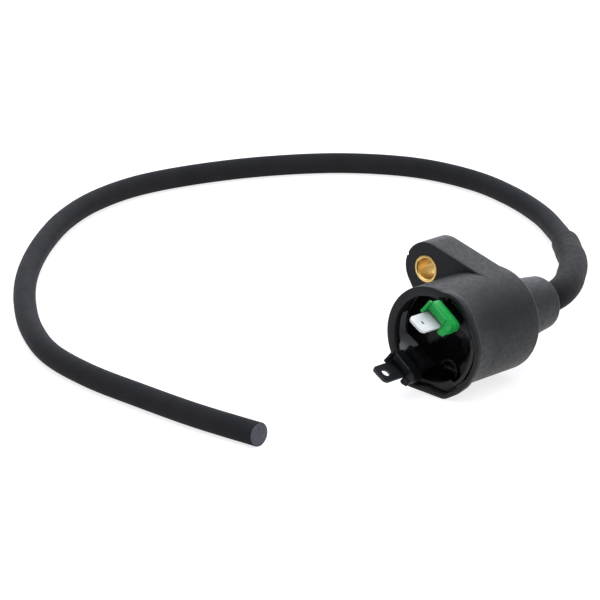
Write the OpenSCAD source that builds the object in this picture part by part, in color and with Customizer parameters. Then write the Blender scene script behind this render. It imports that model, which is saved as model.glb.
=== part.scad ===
// Potted ignition coil: an open-fronted plastic can with one mounting ear, two spade
// terminals in moulded collars, a transformer cast in resin, and a fixed high-tension lead.
//
// Every piece is laid out in the can's own frame: the can's axis is Y, its open rim lies at
// y = 0 and faces -Y, the lead tower points to +Y, and Z is up. The finished part is then
// shifted so that its origin is the middle of the mounting bush's bore.

/* [Can] */
// Outer radius of the can
can_r = 15.8; // [14.5:0.1:19]
// Thickness of the can's side wall
can_wall = 1.5; // [1.3:0.1:2]
// Length of the can from its rim to its back
can_len = 32.5; // [31:0.5:42]
// Thickness of the can's back wall
back_wall = 2; // [1.5:0.1:3]
// Height of the can's axis above the surface that the part lies on
axis_height = 17; // [16:0.1:22]

/* [Front lip] */
// Length of the lip at its full size
lip_len = 2; // [1:0.1:3]
// Length of the slimmer step between the lip and the can
lip_step_len = 1.6; // [0.5:0.1:3]
// Thickness of the lip's rim around the mouth
lip_wall = 1.4; // [1:0.1:2]
// Depth of the ledge inside the lip
ledge_depth = 1.2; // [0.5:0.1:2]
// Depth at which the can's inner wall starts behind the mouth
mouth_depth = 2; // [1:0.1:3]
// How far the bead around the mouth stands in from the can's inner wall
mouth_bead = 1.4; // [0.4:0.1:1.6]

/* [Mounting ear] */
// Sideways distance from the can's axis to the bush
ear_x = 17.3; // [16:0.1:24]
// Height of the bush above the can's axis
ear_z = 14; // [12:0.1:20]
// Radius of the ear's rounded end
ear_r = 8; // [6.5:0.1:10]
// Distance from the can's rim to the ear's front face
ear_y = 20; // [15:0.5:21]
// Thickness of the ear
ear_len = 11; // [8:0.5:11]
// Radius of the bolt hole through the bush
bush_bore_r = 3.1; // [2.6:0.1:3.4]
// Wall thickness of the bush
bush_wall = 1; // [0.8:0.1:1.5]
// How far the bush stands proud of the ear at each end
bush_proud = 0.2; // [0:0.1:0.5]

/* [Lead tower] */
// Radius of the tower at the can
tower_base_r = 10.3; // [9:0.1:12]
// Radius of the tower at its end
tower_end_r = 8; // [6.5:0.1:9]
// Length of the tower behind the can
tower_len = 20; // [19:0.5:26]

/* [High-tension lead] */
// Outer radius of the lead
lead_r = 3.5; // [3.2:0.1:3.7]
// Radius of the lead's conducting core
lead_core_r = 0.8; // [0.7:0.1:1.2]
// Wall thickness of the rubber sleeve over the lead
sleeve_wall = 0.9; // [0.6:0.1:1]
// Gap around the lead inside the tower and the sleeve
lead_gap = 0.1; // [0.05:0.05:0.2]
// Depth of the lead's seat inside the tower
lead_seat = 16.5; // [16:0.5:18]
// Depth to which the sleeve enters the tower
sleeve_seat = 7.5; // [5:0.5:9]
// Length of the seal ring around the lead
seal_len = 4; // [2:0.5:5]

/* [Terminals] */
// Width of each spade blade
blade_w = 6.3; // [4.8:0.1:6.3]
// Thickness of each spade blade
blade_t = 0.8; // [0.5:0.1:0.8]
// Distance that the blades' tips stand in front of the rim
blade_out = 14.8; // [12:0.1:18]
// Cut-off corner at the tip of a blade
blade_chamfer = 1; // [0.5:0.1:1.5]
// Radius of the latch hole in the ground blade
blade_hole_r = 1.4; // [0.8:0.1:1.6]
// Radius of the latch dimple in the signal blade
blade_dimple_r = 0.7; // [0.4:0.1:1]
// Distance from a blade's tip to its latch hole or dimple
blade_latch = 3.2; // [3:0.1:4]
// Distance between the two blades, face to face
terminal_pitch = 22; // [21:0.1:22.2]
// Sideways offset of each blade from the line between them
terminal_shift = 0.7; // [0:0.1:1]
// Angle of the blades about the can's axis
terminal_tilt = 34; // [0:1:60]
// Distance that the collars' front faces stand in front of the rim
collar_out = 8.3; // [7:0.1:9]
// Length of each collar
collar_len = 7.7; // [6:0.1:7.7]
// Height of a collar's front ridge above the middle of its blade
collar_ridge = 4; // [3.5:0.1:4.5]
// Height of a collar's top behind the ridge
collar_top = 2.9; // [2.6:0.1:3.3]
// Gap between a blade's face and the roof over it
collar_gap = 0.9; // [0.5:0.1:1.5]
// How far a collar's roof stands back from its cheeks
collar_setback = 1.7; // [1:0.1:2.5]

/* [Transformer] */
// Distance from the rim to the surface of the resin
resin_depth = 7.4; // [6:0.1:8]
// Width of the square core of stacked sheets
core_w = 6.5; // [5:0.1:6.7]
// Spacing of the sheets in the core
sheet_pitch = 0.5; // [0.3:0.05:1]
// Gap of varnish between the sheets
sheet_gap = 0.04; // [0.02:0.01:0.08]
// Thickness of the paper around the core
paper_t = 0.25; // [0.1:0.05:0.4]
// Radius of the primary bobbin's tube
primary_tube_r = 5.6; // [5.5:0.1:6]
// Outer radius of the primary winding
primary_r = 7.2; // [6.5:0.1:7.3]
// Thickness of the tape around the primary winding
tape_t = 0.6; // [0.2:0.1:0.8]
// Wall thickness of the secondary bobbin's tube
secondary_tube_t = 0.7; // [0.5:0.1:1]
// Outer radius of the secondary winding
secondary_r = 10.9; // [9.5:0.1:11.2]
// How far the bobbin's ribs stand above the secondary winding
rib_proud = 0.5; // [0.2:0.1:0.6]
// Number of winding sections on the secondary bobbin
sections = 6; // [3:1:8]
// Thickness of the bobbins' ribs and flanges
rib_t = 0.5; // [0.4:0.1:0.8]

/* [Hidden] */
$fn = 96;

// A cut passes this far beyond the face that it opens
over = 0.5;

// Can and lip
cavity_r = can_r - can_wall;
cavity_end = can_len - back_wall;
mouth_r = cavity_r - mouth_bead;
// The lip's corners: angle about the axis, and how far each stands out from the can
lip_corners = [[-152, -0.4], [-118, 1.8], [-72, 2.07], [-57, 1.9], [-42, 2.1], [-28, 2.1],
               [-14, 2.2], [-2, 2.2], [9, 1.6], [22, 1.2], [34, 1.4], [44, 1.6], [54, 1.6],
               [64, 1], [80, -0.4]];
// Share of the lip's height that its slimmer step keeps
step_share = 0.45;
// The bead stops between these angles about the axis
bead_gap = [-58, 76];

// Ear and bush
bush_r = bush_bore_r + bush_wall;
bush_len = ear_len + 2 * bush_proud;
ear_mid = ear_y + ear_len / 2;
bush_centre = [-ear_x, ear_mid, ear_z];
// Small flat cut into the ear's outer edge
ear_flat_angle = 155;
ear_flat_depth = 0.35;

// Tower, seal and sleeve
tower_end = can_len + tower_len;
lead_start = tower_end - lead_seat;
sleeve_r = lead_r + lead_gap + sleeve_wall;
sleeve_bore_r = sleeve_r + lead_gap;
seal_r = sleeve_bore_r;
seal_start = tower_end - sleeve_seat - seal_len - 1.5;

// Terminals
blade_tip = -blade_out;
collar_front = -collar_out;
collar_back = collar_front + collar_len;
collar_left = -4.3;
collar_right = 5.7;
collar_sole = -1.8;
// How far a collar's top falls from its left cheek to its right one
collar_fall = 0.7;
collar_side_gap = 0.1;
// Share of a collar's length that its pocket takes up
pocket_share = 0.55;
post_half_w = 3.8;
post_low = -1;
post_high = 1.2;
post_rib_high = 4;
post_rib_len = 1.3;
carrier_r = 12.2;
carrier_front = resin_depth + 1;
carrier_back = carrier_front + 1.2;
tail_w = 2.4;
tail_end = carrier_back + 1.1;

// Ribs on the can's inner wall beside the two terminals
seat_front = 1;
seat_across = 5.2;
seat_square = 9.5;

// Transformer, between the terminal carrier and the can's back
coil_front = tail_end + 0.5;
coil_back = cavity_end - 1.3;
core_hole = core_w + 2 * paper_t;
flange_t = 0.8;
primary_flange_r = primary_r + tape_t;
secondary_tube_r = primary_flange_r + secondary_tube_t;
rib_r = secondary_r + rib_proud;
section_w = (coil_back - coil_front - (sections + 1) * rib_t) / sections;
sheets = floor(core_w / sheet_pitch);
notch_w = 1;

// Internal wires
primary_wire_r = 0.3;
fine_wire_r = 0.2;
primary_exit_r = primary_r - 2 * primary_wire_r;
wire_y = carrier_back + 0.7;
outer_run_r = (rib_r + cavity_r) / 2;
ground_wire_shift = 0.8;
solder_r = 0.8;

// High-tension contact
plate_r = 3.4;
plate_t = 0.8;
spike_r = 0.7;
spike_point = 2;
spike_tip = lead_start + 4;

// Wire that shows as an arch lying on the resin; its place is across and square to the blades
loop_r = 3.1;
loop_wire_r = 0.45;
loop_place = [7.4, -7.6];

// Height of the lead's middle where it lies on the same surface as the can
lying = lead_r - axis_height;
// The lead's route, from its inner end in the tower: straight out, down to the surface that
// the can lies on, then round in one open loop to the cut end in front of the can
route = [[0, 0, 0], [0, lead_seat - sleeve_seat, 0], [0, 16, 0], [-0.7, 24, 0], [-4, 33, -0.5],
         [-10, 44, -1.5], [-18, 56, -3], [-27, 69, -5], [-37, 82, -7], [-48, 95, -9.5],
         [-60, 109, -11.5], [-75, 124, -13], [-93, 139, lying], [-115, 152, lying],
         [-139, 161, lying], [-165, 162, lying], [-188, 151, lying], [-205, 131, lying],
         [-216, 107, lying], [-221, 82, lying], [-218, 57, lying], [-209, 33, lying],
         [-196, 10, lying], [-181, -12, lying], [-165, -32, lying], [-147, -51, lying],
         [-127, -69, lying], [-105, -84, lying], [-81, -93, lying], [-56, -98, lying],
         [-31, -102, lying], [-6, -104, lying]];
// Rings on each stretch between two route points, and sides of each ring
route_steps = 2;
lead_sides = 10;
// The sleeve runs from the tower to this ring of the lead
sleeve_rings = [2, 20];
// The core starts behind the spike's tip, at this ring
core_ring = 1;

// ---------------------------------------------------------------- helpers

function polar(r, angle) = [r * cos(angle), r * sin(angle)];
function unit(v) = v / norm(v);

// Outline of the lip with only a share of its height, drawn in by a wall
function lip_points(share, inset) =
    [for (c = lip_corners) polar(can_r + share * c[1] - inset, c[0])];

// Point on a Catmull-Rom curve through the route
function on_curve(a, b, c, d, t) =
    0.5 * (2 * b + (c - a) * t + (2 * a - 5 * b + 4 * c - d) * t * t
           + (3 * b - a - 3 * c + d) * t * t * t);
function smooth(points, steps) = let (last = len(points) - 1) concat(
    [for (i = [0:last - 1], j = [0:steps - 1])
        on_curve(points[max(i - 1, 0)], points[i], points[i + 1], points[min(i + 2, last)],
                 j / steps)],
    [points[last]]);
function part_of(list, from, to) = [for (i = [from:to]) list[i]];

// Ring of points around a path, upright because the path never climbs steeply
function ring(path, i, r) =
    let (along = unit(path[min(i + 1, len(path) - 1)] - path[max(i - 1, 0)]),
         side = unit(cross(along, [0, 0, 1])),
         up = cross(side, along))
    [for (k = [0:lead_sides - 1])
        path[i] + r * (cos(360 * k / lead_sides + 90) * side + sin(360 * k / lead_sides + 90) * up)];

// Two triangles for each side of each stretch; first is the number of the first point
function skin(rings, first, inward) =
    [for (i = [0:rings - 2], k = [0:lead_sides - 1])
        let (a = first + i * lead_sides + k, b = first + i * lead_sides + (k + 1) % lead_sides,
             c = b + lead_sides, d = a + lead_sides)
        each (inward ? [[a, c, b], [a, d, c]] : [[a, b, c], [a, c, d]])];
function end_disc(first, start) =
    [for (k = [0:lead_sides - 1]) first + (start ? lead_sides - 1 - k : k)];
function end_annulus(outer, inner, start) =
    [for (k = [0:lead_sides - 1])
        let (a = outer + k, b = outer + (k + 1) % lead_sides,
             c = inner + (k + 1) % lead_sides, d = inner + k)
        each (start ? [[a, c, b], [a, d, c]] : [[a, b, c], [a, c, d]])];

module solid_sweep(path, r) {
    rings = len(path);
    points = [for (i = [0:rings - 1]) each ring(path, i, r)];
    polyhedron(points, concat(skin(rings, 0, false), [end_disc(0, true)],
                              [end_disc((rings - 1) * lead_sides, false)]));
}

module hollow_sweep(path, r_out, r_in) {
    rings = len(path);
    inner = rings * lead_sides;
    last = (rings - 1) * lead_sides;
    points = concat([for (i = [0:rings - 1]) each ring(path, i, r_out)],
                    [for (i = [0:rings - 1]) each ring(path, i, r_in)]);
    polyhedron(points, concat(skin(rings, 0, false), skin(rings, inner, true),
                              end_annulus(0, inner, true),
                              end_annulus(last, inner + last, false)));
}

// Moves a piece from the can's frame to the part's own frame
module seated() translate(-bush_centre) children();

// A flat outline in X and Z, pulled out along Y from y0 to y1
module bar(y0, y1) translate([0, y1, 0]) rotate([90, 0, 0]) linear_extrude(y1 - y0) children();
module disc(y0, y1, r) bar(y0, y1) circle(r);
module tube(y0, y1, r_out, r_in) bar(y0, y1) difference() {
    circle(r_out);
    circle(r_in);
}

// Straight round wire between two points
module wire(a, b, r) {
    v = b - a;
    translate(a)
        rotate([0, acos(v[2] / norm(v)), atan2(v[1], v[0])])
            cylinder(h = norm(v), r = r, $fn = 24);
}
module wire_path(points, r) {
    for (i = [0:len(points) - 2]) wire(points[i], points[i + 1], r);
    if (len(points) > 2) for (i = [1:len(points) - 2]) translate(points[i]) sphere(r, $fn = 24);
}

// Terminal frame: X runs across the blade, Z is square to it
module across() rotate([0, terminal_tilt, 0]) children();
module at_terminal(side)
    across() translate([side * terminal_shift, 0, side * terminal_pitch / 2]) children();

// ---------------------------------------------------------------- can

module lip_outline(share, inset) {
    circle(can_r - inset);
    polygon(lip_points(share, inset));
}

module mouth_outline() {
    circle(mouth_r);
    polygon(concat([[0, 0]], lip_points(1, lip_wall)));
}

// Sector of the mouth where the can's inner wall runs right up to the lip
module bead_gap_outline() intersection() {
    circle(cavity_r);
    polygon(concat([[0, 0]], [for (i = [0:4]) polar(2 * can_r,
        bead_gap[0] + i * (bead_gap[1] - bead_gap[0]) / 4)]));
}

// Straight-sided web between the can and the ear's round end
module ear_outline() {
    reach = norm([ear_x, ear_z]);
    lean = atan2(ear_z, -ear_x);
    open = acos((can_r - ear_r) / reach);
    translate([-ear_x, ear_z]) circle(ear_r);
    polygon([polar(can_r, lean - open), polar(can_r, lean + open),
             [-ear_x, ear_z] + polar(ear_r, lean + open),
             [-ear_x, ear_z] + polar(ear_r, lean - open)]);
}

module ear() difference() {
    bar(ear_y, ear_y + ear_len) ear_outline();
    translate([-ear_x, 0, ear_z]) rotate([0, -ear_flat_angle, 0])
        translate([ear_r - ear_flat_depth, ear_y - over, -ear_r / 8])
            cube([ear_r, ear_len / 2, ear_r / 2]);
}

module terminal_seats() intersection() {
    disc(seat_front, carrier_front, cavity_r + can_wall / 2);
    across() for (turn = [0, 180]) rotate([0, turn, 0])
        translate([seat_across, 0, seat_square]) cube([can_r, can_len, can_r]);
}

module shell() difference() {
    union() {
        disc(0, can_len, can_r);
        bar(0, lip_len) lip_outline(1, 0);
        bar(0, lip_len + lip_step_len) lip_outline(step_share, 0);
        ear();
        translate([0, can_len - over, 0]) rotate([-90, 0, 0])
            cylinder(h = tower_len + over, r1 = tower_base_r, r2 = tower_end_r);
    }
    disc(mouth_depth, cavity_end, cavity_r);
    bar(-over, mouth_depth) circle(mouth_r);
    bar(-over, ledge_depth) mouth_outline();
    bar(-over, mouth_depth + over) bead_gap_outline();
    disc(cavity_end - over, lead_start + over, spike_r);
    disc(lead_start, tower_end + over, lead_r + lead_gap);
    disc(seal_start, seal_start + seal_len, seal_r);
    disc(tower_end - sleeve_seat, tower_end + over, sleeve_bore_r);
    translate([-ear_x, 0, ear_z]) disc(ear_y - over, ear_y + ear_len + over, bush_r);
}

module housing() color([0.27, 0.29, 0.30]) seated() {
    shell();
    terminal_seats();
}

module mount_bush() color([0.83, 0.68, 0.35]) seated() translate([-ear_x, 0, ear_z])
    tube(ear_mid - bush_len / 2, ear_mid + bush_len / 2, bush_r, bush_bore_r);

// ---------------------------------------------------------------- terminals

// Blade outline seen square to its face: X across, Y along the can
module blade_outline() {
    half = blade_w / 2;
    polygon([[-half + blade_chamfer, blade_tip], [half - blade_chamfer, blade_tip],
             [half, blade_tip + blade_chamfer], [half, carrier_front],
             [tail_w / 2, carrier_front], [tail_w / 2, tail_end],
             [-tail_w / 2, tail_end], [-tail_w / 2, carrier_front],
             [-half, carrier_front], [-half, blade_tip + blade_chamfer]]);
}

module blade() translate([0, 0, -blade_t / 2]) linear_extrude(blade_t) blade_outline();

module signal_blade() color([0.90, 0.91, 0.91]) seated() at_terminal(1) difference() {
    blade();
    translate([0, blade_tip + blade_latch, blade_t / 4]) cylinder(h = blade_t, r = blade_dimple_r);
}

module ground_blade() color([0.80, 0.81, 0.81]) seated() at_terminal(-1) difference() {
    blade();
    translate([0, blade_tip + blade_latch, -blade_t]) cylinder(h = 2 * blade_t, r = blade_hole_r);
}

// Block around the blade's root: a roof between two cheeks, hollowed below to a pocket
module collar() {
    half = blade_w / 2 + collar_side_gap;
    difference() {
        intersection() {
            bar(collar_front, collar_back) polygon([
                [collar_left, -blade_t / 2], [half, -blade_t / 2], [half + 0.4, collar_sole],
                [collar_right - 1.2, collar_sole], [collar_right, -blade_t / 2],
                [collar_right, collar_ridge - collar_fall - 0.8],
                [collar_right - 0.5, collar_ridge - collar_fall], [collar_left + 0.3, collar_ridge]]);
            translate([collar_left, 0, 0]) rotate([90, 0, 90])
                linear_extrude(collar_right - collar_left) polygon([
                    [collar_front, collar_sole], [collar_back, collar_sole],
                    [collar_back, collar_top - 0.7], [collar_back - 1, collar_top],
                    [collar_front + 3.6, collar_top], [collar_front + 2.2, collar_ridge],
                    [collar_front + 1.4, collar_ridge], [collar_front + 0.5, collar_ridge / 2],
                    [collar_front, blade_t / 2]]);
        }
        translate([-half, collar_front - over, -blade_t / 2 - over])
            cube([2 * half, pocket_share * collar_len + over, blade_t + collar_gap + over]);
        translate([-half, collar_front - over, 0])
            cube([2 * half, collar_setback + over, collar_ridge + over]);
        blade();
    }
}

module signal_collar() color([0.13, 0.67, 0.28]) seated() at_terminal(1) collar();
module ground_collar() color([0.13, 0.14, 0.15]) seated() at_terminal(-1) collar();

module post() translate([-post_half_w, collar_back, post_low])
    cube([2 * post_half_w, carrier_front - collar_back + over, post_high - post_low]);

// Moulded disc in the resin that carries both blades on posts
module terminal_carrier() color([0.16, 0.17, 0.18]) seated() difference() {
    union() {
        disc(carrier_front, carrier_back, carrier_r);
        for (side = [-1, 1]) at_terminal(side) post();
        at_terminal(-1) translate([-post_half_w, 0, post_high - over])
            cube([2 * post_half_w, post_rib_len, post_rib_high - post_high + over]);
    }
    for (side = [-1, 1]) at_terminal(side) blade();
}

// ---------------------------------------------------------------- transformer

module core_laminations() color([0.45, 0.46, 0.48]) seated()
    for (i = [0:sheets - 1])
        translate([-core_w / 2, coil_front, (i - sheets / 2) * sheet_pitch + sheet_gap / 2])
            cube([core_w, coil_back - coil_front, sheet_pitch - sheet_gap]);

module core_paper() color([0.78, 0.70, 0.52]) seated() bar(coil_front, coil_back) difference() {
    square(core_hole, center = true);
    square([core_w, max(core_w, sheets * sheet_pitch)], center = true);
}

module primary_bobbin() color([0.86, 0.84, 0.78]) seated() difference() {
    union() {
        disc(coil_front, coil_back, primary_tube_r);
        disc(coil_front, coil_front + flange_t, primary_flange_r);
        disc(coil_back - flange_t, coil_back, primary_flange_r);
    }
    bar(coil_front - over, coil_back + over) square(core_hole, center = true);
    for (side = [-1, 1]) across()
        translate([-notch_w / 2, coil_front - over,
                   side > 0 ? primary_exit_r - notch_w / 2 : -primary_flange_r - over])
            cube([notch_w, flange_t + over, primary_flange_r - primary_exit_r + notch_w / 2 + over]);
}

module primary_winding() color([0.72, 0.36, 0.18]) seated()
    tube(coil_front + flange_t, coil_back - flange_t, primary_r, primary_tube_r);

module primary_tape() color([0.88, 0.78, 0.30]) seated()
    tube(coil_front + flange_t, coil_back - flange_t, primary_flange_r, primary_r);

module secondary_bobbin() color([0.90, 0.88, 0.82]) seated() {
    tube(coil_front, coil_back, secondary_tube_r, primary_flange_r);
    for (i = [0:sections])
        translate([0, i * (section_w + rib_t), 0])
            tube(coil_front, coil_front + rib_t, rib_r, secondary_tube_r - secondary_tube_t / 2);
}

module secondary_winding() color([0.62, 0.28, 0.14]) seated()
    for (i = [0:sections - 1])
        translate([0, rib_t + i * (section_w + rib_t), 0])
            tube(coil_front, coil_front + section_w, secondary_r, secondary_tube_r);

// From the primary winding through the bobbin's notch to one blade's tail
module primary_wire(side) across() wire_path([
    [0, coil_front + flange_t, side * primary_exit_r], [0, wire_y, side * primary_exit_r],
    [0, wire_y, side * (terminal_pitch / 2 - blade_t / 2)]], primary_wire_r);

module primary_start_wire() color([0.72, 0.36, 0.18]) seated() primary_wire(1);
module primary_end_wire() color([0.72, 0.36, 0.18]) seated() primary_wire(-1);

// Low end of the secondary, outside the ribs, to the far face of the ground blade's tail
module ground_run() across() wire_path([
    [-ground_wire_shift, coil_front + rib_t + section_w / 2, -secondary_r],
    [-ground_wire_shift, coil_front + rib_t + section_w / 2, -outer_run_r],
    [-ground_wire_shift, wire_y, -outer_run_r],
    [-ground_wire_shift, wire_y, -terminal_pitch / 2 - blade_t / 2]], fine_wire_r);

module secondary_ground_wire() color([0.62, 0.28, 0.14]) seated() ground_run();

// High end of the secondary, outside the ribs and across the back to the contact plate
module high_tension_run() wire_path([
    [0, coil_back - rib_t - section_w / 2, secondary_r],
    [0, coil_back - rib_t - section_w / 2, outer_run_r],
    [0, cavity_end - plate_t / 2, outer_run_r],
    [0, cavity_end - plate_t / 2, plate_r]], fine_wire_r);

module high_tension_wire() color([0.62, 0.28, 0.14]) seated() high_tension_run();

// A blob of solder on the inner face of each blade's tail
module solder(side) across() difference() {
    translate([0, wire_y, side * (terminal_pitch / 2 - blade_t / 2)])
        rotate([side > 0 ? 180 : 0, 0, 0]) intersection() {
            sphere(solder_r, $fn = 48);
            translate([-solder_r, -solder_r, 0]) cube(2 * solder_r);
        }
    wire_path([[0, wire_y, side * primary_exit_r],
               [0, wire_y, side * terminal_pitch / 2]], primary_wire_r);
}

module solder_joints() color([0.75, 0.76, 0.78]) seated() for (side = [-1, 1]) solder(side);

module resin_wire_loop() color([0.10, 0.10, 0.11]) seated() across()
    translate([loop_place[0], resin_depth - loop_wire_r, loop_place[1]]) rotate([90, 0, 0])
        rotate_extrude(angle = 180) translate([loop_r, 0]) circle(loop_wire_r, $fn = 24);

// Everything that the wound coil takes up, as one plain body
module coil_envelope() {
    disc(coil_front, coil_back, secondary_r);
    for (i = [0:sections])
        translate([0, i * (section_w + rib_t), 0]) disc(coil_front, coil_front + rib_t, rib_r);
}

module potting_resin() color([0.06, 0.06, 0.07]) seated() difference() {
    disc(resin_depth, cavity_end, cavity_r);
    terminal_seats();
    coil_envelope();
    disc(carrier_front, carrier_back, carrier_r);
    for (side = [-1, 1]) {
        at_terminal(side) post();
        at_terminal(side) blade();
        primary_wire(side);
        solder(side);
    }
    ground_run();
    high_tension_run();
    disc(cavity_end - plate_t, cavity_end + over, plate_r);
}

// ---------------------------------------------------------------- high-tension outlet

module contact_plate() color([0.80, 0.66, 0.36]) seated()
    tube(cavity_end - plate_t, cavity_end, plate_r, spike_r);

module contact_spike() color([0.76, 0.62, 0.32]) seated() {
    disc(cavity_end - plate_t, spike_tip - spike_point, spike_r);
    translate([0, spike_tip - spike_point, 0]) rotate([-90, 0, 0])
        cylinder(h = spike_point, r1 = spike_r, r2 = 0);
}

module lead_seal() color([0.20, 0.20, 0.21]) seated()
    tube(seal_start, seal_start + seal_len, seal_r, lead_r + lead_gap);

// ---------------------------------------------------------------- lead

lead_path = smooth([for (p = route) p + [0, lead_start, 0]], route_steps);

module lead_jacket() color([0.15, 0.15, 0.16]) seated()
    hollow_sweep(lead_path, lead_r, lead_core_r);

module lead_core() color([0.22, 0.22, 0.24]) seated()
    solid_sweep(part_of(lead_path, core_ring, len(lead_path) - 1), lead_core_r - lead_gap / 2);

module lead_sleeve() color([0.20, 0.20, 0.21]) seated()
    hollow_sweep(part_of(lead_path, sleeve_rings[0], sleeve_rings[1]), sleeve_r, lead_r + lead_gap);

housing();
mount_bush();
potting_resin();
terminal_carrier();
signal_blade();
signal_collar();
ground_blade();
ground_collar();
core_laminations();
core_paper();
primary_bobbin();
primary_winding();
primary_tape();
secondary_bobbin();
secondary_winding();
primary_start_wire();
primary_end_wire();
secondary_ground_wire();
high_tension_wire();
solder_joints();
resin_wire_loop();
contact_plate();
contact_spike();
lead_seal();
lead_core();
lead_jacket();
lead_sleeve();
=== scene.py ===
import bmesh, bpy, math
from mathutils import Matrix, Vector, noise
from mathutils.geometry import tessellate_polygon


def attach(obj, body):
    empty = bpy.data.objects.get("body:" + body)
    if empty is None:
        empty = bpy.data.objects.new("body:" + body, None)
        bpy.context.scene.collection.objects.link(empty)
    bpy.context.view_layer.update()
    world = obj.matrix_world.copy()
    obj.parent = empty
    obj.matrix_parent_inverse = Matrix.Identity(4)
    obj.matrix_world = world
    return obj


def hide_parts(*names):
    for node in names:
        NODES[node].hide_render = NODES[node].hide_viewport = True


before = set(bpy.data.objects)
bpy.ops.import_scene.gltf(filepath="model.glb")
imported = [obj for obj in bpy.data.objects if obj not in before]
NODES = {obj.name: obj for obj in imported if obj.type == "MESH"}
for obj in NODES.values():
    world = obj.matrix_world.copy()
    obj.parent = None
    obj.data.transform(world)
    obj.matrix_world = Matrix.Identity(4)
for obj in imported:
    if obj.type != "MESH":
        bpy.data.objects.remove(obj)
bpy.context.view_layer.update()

# ---------------------------------------------------------------- sizes, in mm in the can's frame
# The can's axis is Y, its open rim lies at y = 0 and faces -Y, and Z is up.
MM = 0.001
BUSH_CENTRE = (-17.3, 25.5, 14.0)
FLOOR_Z = -17.0

CAN_R = 15.8
CAN_LEN = 32.5
MOUTH_R = 12.9
CAVITY_R = 14.3
RESIN_Y = 7.4
LIP_WALL = 1.4
# The bead around the mouth stops between these angles
BEAD_GAP = (-58, 76)
# The can's deepest inner wall takes a lighter copy of the plastic between these angles, as painted
# light
LIT_WALL_ANGLES = (160, 235)
# Ribs beside the terminals: front, and nearest corner across and square to the blades
SEAT_Y = 1.0
SEAT_W = 5.2
SEAT_N = 9.5
# Angle about the axis, and how far the lip stands out from the can there
LIP = [(-152, -0.4), (-118, 1.8), (-72, 2.07), (-57, 1.9), (-42, 2.1), (-28, 2.1), (-14, 2.2),
       (-2, 2.2), (9, 1.6), (22, 1.2), (34, 1.4), (44, 1.6), (54, 1.6), (64, 1.0), (80, -0.4)]

EAR_AT = (-17.3, 14.0)
EAR_R = 8.0
EAR_Y = (20.0, 31.0)
BUSH_R = 4.1
BUSH_BORE_R = 3.1
BUSH_Y = (19.8, 31.2)

TOWER_R = (10.3, 8.0)
TOWER_END = 52.5
SLEEVE_R = 4.5
LEAD_R = 3.5
LEAD_CORE_R = 0.75

BLADE_W = 6.3
BLADE_T = 0.8
BLADE_TIP = -14.8
BLADE_LATCH = 3.2
TERMINAL_N = 11.0
TERMINAL_SHIFT = 0.7
TERMINAL_TILT = 34.0

# The lead's route from its inner end in the tower, and how far in it starts
LEAD_SEAT = 16.5
SLEEVE_SEAT = 7.5
LYING = LEAD_R + FLOOR_Z
ROUTE = [(0, 0, 0), (0, LEAD_SEAT - SLEEVE_SEAT, 0), (0, 16, 0), (-0.7, 24, 0), (-4, 33, -0.5),
         (-10, 44, -1.5), (-18, 56, -3), (-27, 69, -5), (-37, 82, -7), (-48, 95, -9.5),
         (-60, 109, -11.5), (-75, 124, -13), (-93, 139, LYING), (-115, 152, LYING),
         (-139, 161, LYING), (-165, 162, LYING), (-188, 151, LYING), (-205, 131, LYING),
         (-216, 107, LYING), (-221, 82, LYING), (-218, 57, LYING), (-209, 33, LYING),
         (-196, 10, LYING), (-181, -12, LYING), (-165, -32, LYING), (-147, -51, LYING),
         (-127, -69, LYING), (-105, -84, LYING), (-81, -93, LYING), (-56, -98, LYING),
         (-31, -102, LYING), (-6, -104, LYING)]
# Points of the route between which the sleeve runs
SLEEVE_SPAN = (1.0, 10.0)

# Points around the can
AROUND = 240


# ---------------------------------------------------------------- placing and meshing

def row(p):
    """A point of the can's frame in mm, as a vector of the row frame in metres."""
    return Vector((p[0] - BUSH_CENTRE[0], p[1] - BUSH_CENTRE[1], p[2] - BUSH_CENTRE[2])) * MM


def tilted(w, y, n):
    """A point given across a blade, along the can and square to the blade."""
    t = math.radians(TERMINAL_TILT)
    return (w * math.cos(t) + n * math.sin(t), y, -w * math.sin(t) + n * math.cos(t))


def at_terminal(side, w, y, n):
    """A point given from the middle of the signal blade (side 1) or the ground blade (side -1)."""
    return tilted(w + side * TERMINAL_SHIFT, y, n + side * TERMINAL_N)


def piece(name, points, faces, material, crease=38):
    """A mesh object of the part, smooth but for edges sharper than crease degrees."""
    mesh = bpy.data.meshes.new(name)
    mesh.from_pydata([row(p) for p in points], [], faces)
    mesh.validate()
    mesh.shade_smooth()
    mesh.set_sharp_from_angle(angle=math.radians(crease))
    obj = bpy.data.objects.new(name, mesh)
    bpy.context.scene.collection.objects.link(obj)
    obj.data.materials.append(material)
    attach(obj, "root")
    return obj


def outward(obj):
    """Turns every face of a closed piece outward."""
    b = bmesh.new()
    b.from_mesh(obj.data)
    bmesh.ops.recalc_face_normals(b, faces=b.faces)
    b.to_mesh(obj.data)
    b.free()
    return obj


def soften(obj, width, segments, angle):
    """Rounds the edges sharper than angle degrees by a width in mm."""
    m = obj.modifiers.new("soft edges", "BEVEL")
    m.width = width * MM
    m.segments = segments
    m.limit_method = "ANGLE"
    m.angle_limit = math.radians(angle)
    m.harden_normals = True
    return obj


def skin(rings):
    """Faces between closed rings of equally many points."""
    count = len(rings[0])
    faces = []
    for i in range(len(rings) - 1):
        for k in range(count):
            a, b = i * count + k, i * count + (k + 1) % count
            faces.append((a, b, b + count, a + count))
    return faces


def lofted(name, rings, material, caps=(True, True), crease=38):
    """A piece skinned over its rings, capped at its first and last ring where asked."""
    points = [p for ring in rings for p in ring]
    faces = skin(rings)
    count = len(rings[0])
    if caps[0]:
        faces.append(tuple(reversed(range(count))))
    if caps[1]:
        faces.append(tuple(range(len(points) - count, len(points))))
    return outward(piece(name, points, faces, material, crease))


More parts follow.
